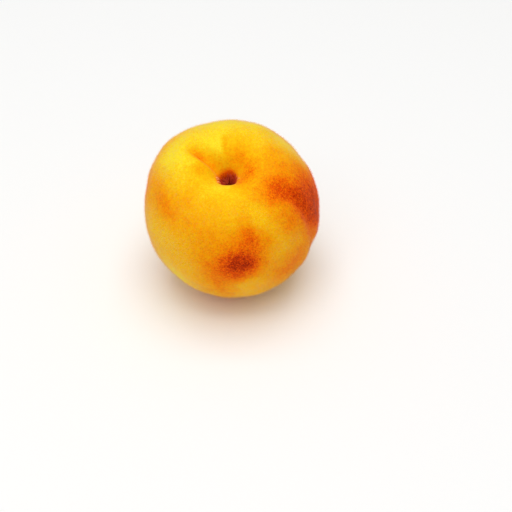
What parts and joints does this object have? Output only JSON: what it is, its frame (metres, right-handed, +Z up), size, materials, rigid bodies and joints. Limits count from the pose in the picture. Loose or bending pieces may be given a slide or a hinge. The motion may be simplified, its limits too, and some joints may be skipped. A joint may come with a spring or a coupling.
{
  "type": "yellow peach",
  "caption": "Whole ripe yellow peach with a creased stem end, an open stem socket and a soft suture, lying on its own small flat spot.",
  "frame": {"origin": "centre of the fruit's box, on the surface that the fruit lies on", "axes": "+Z up, away from the surface; the stem end faces up and leans 19 degrees towards -Y and 5 degrees towards -X"},
  "size_m": [0.0692, 0.0704, 0.0685],
  "materials": {
    "skin": "downy fruit skin, golden yellow with an orange-red blush"
  },
  "bodies": {
    "root": {"peach": "skin"}
  },
  "joints": []
}
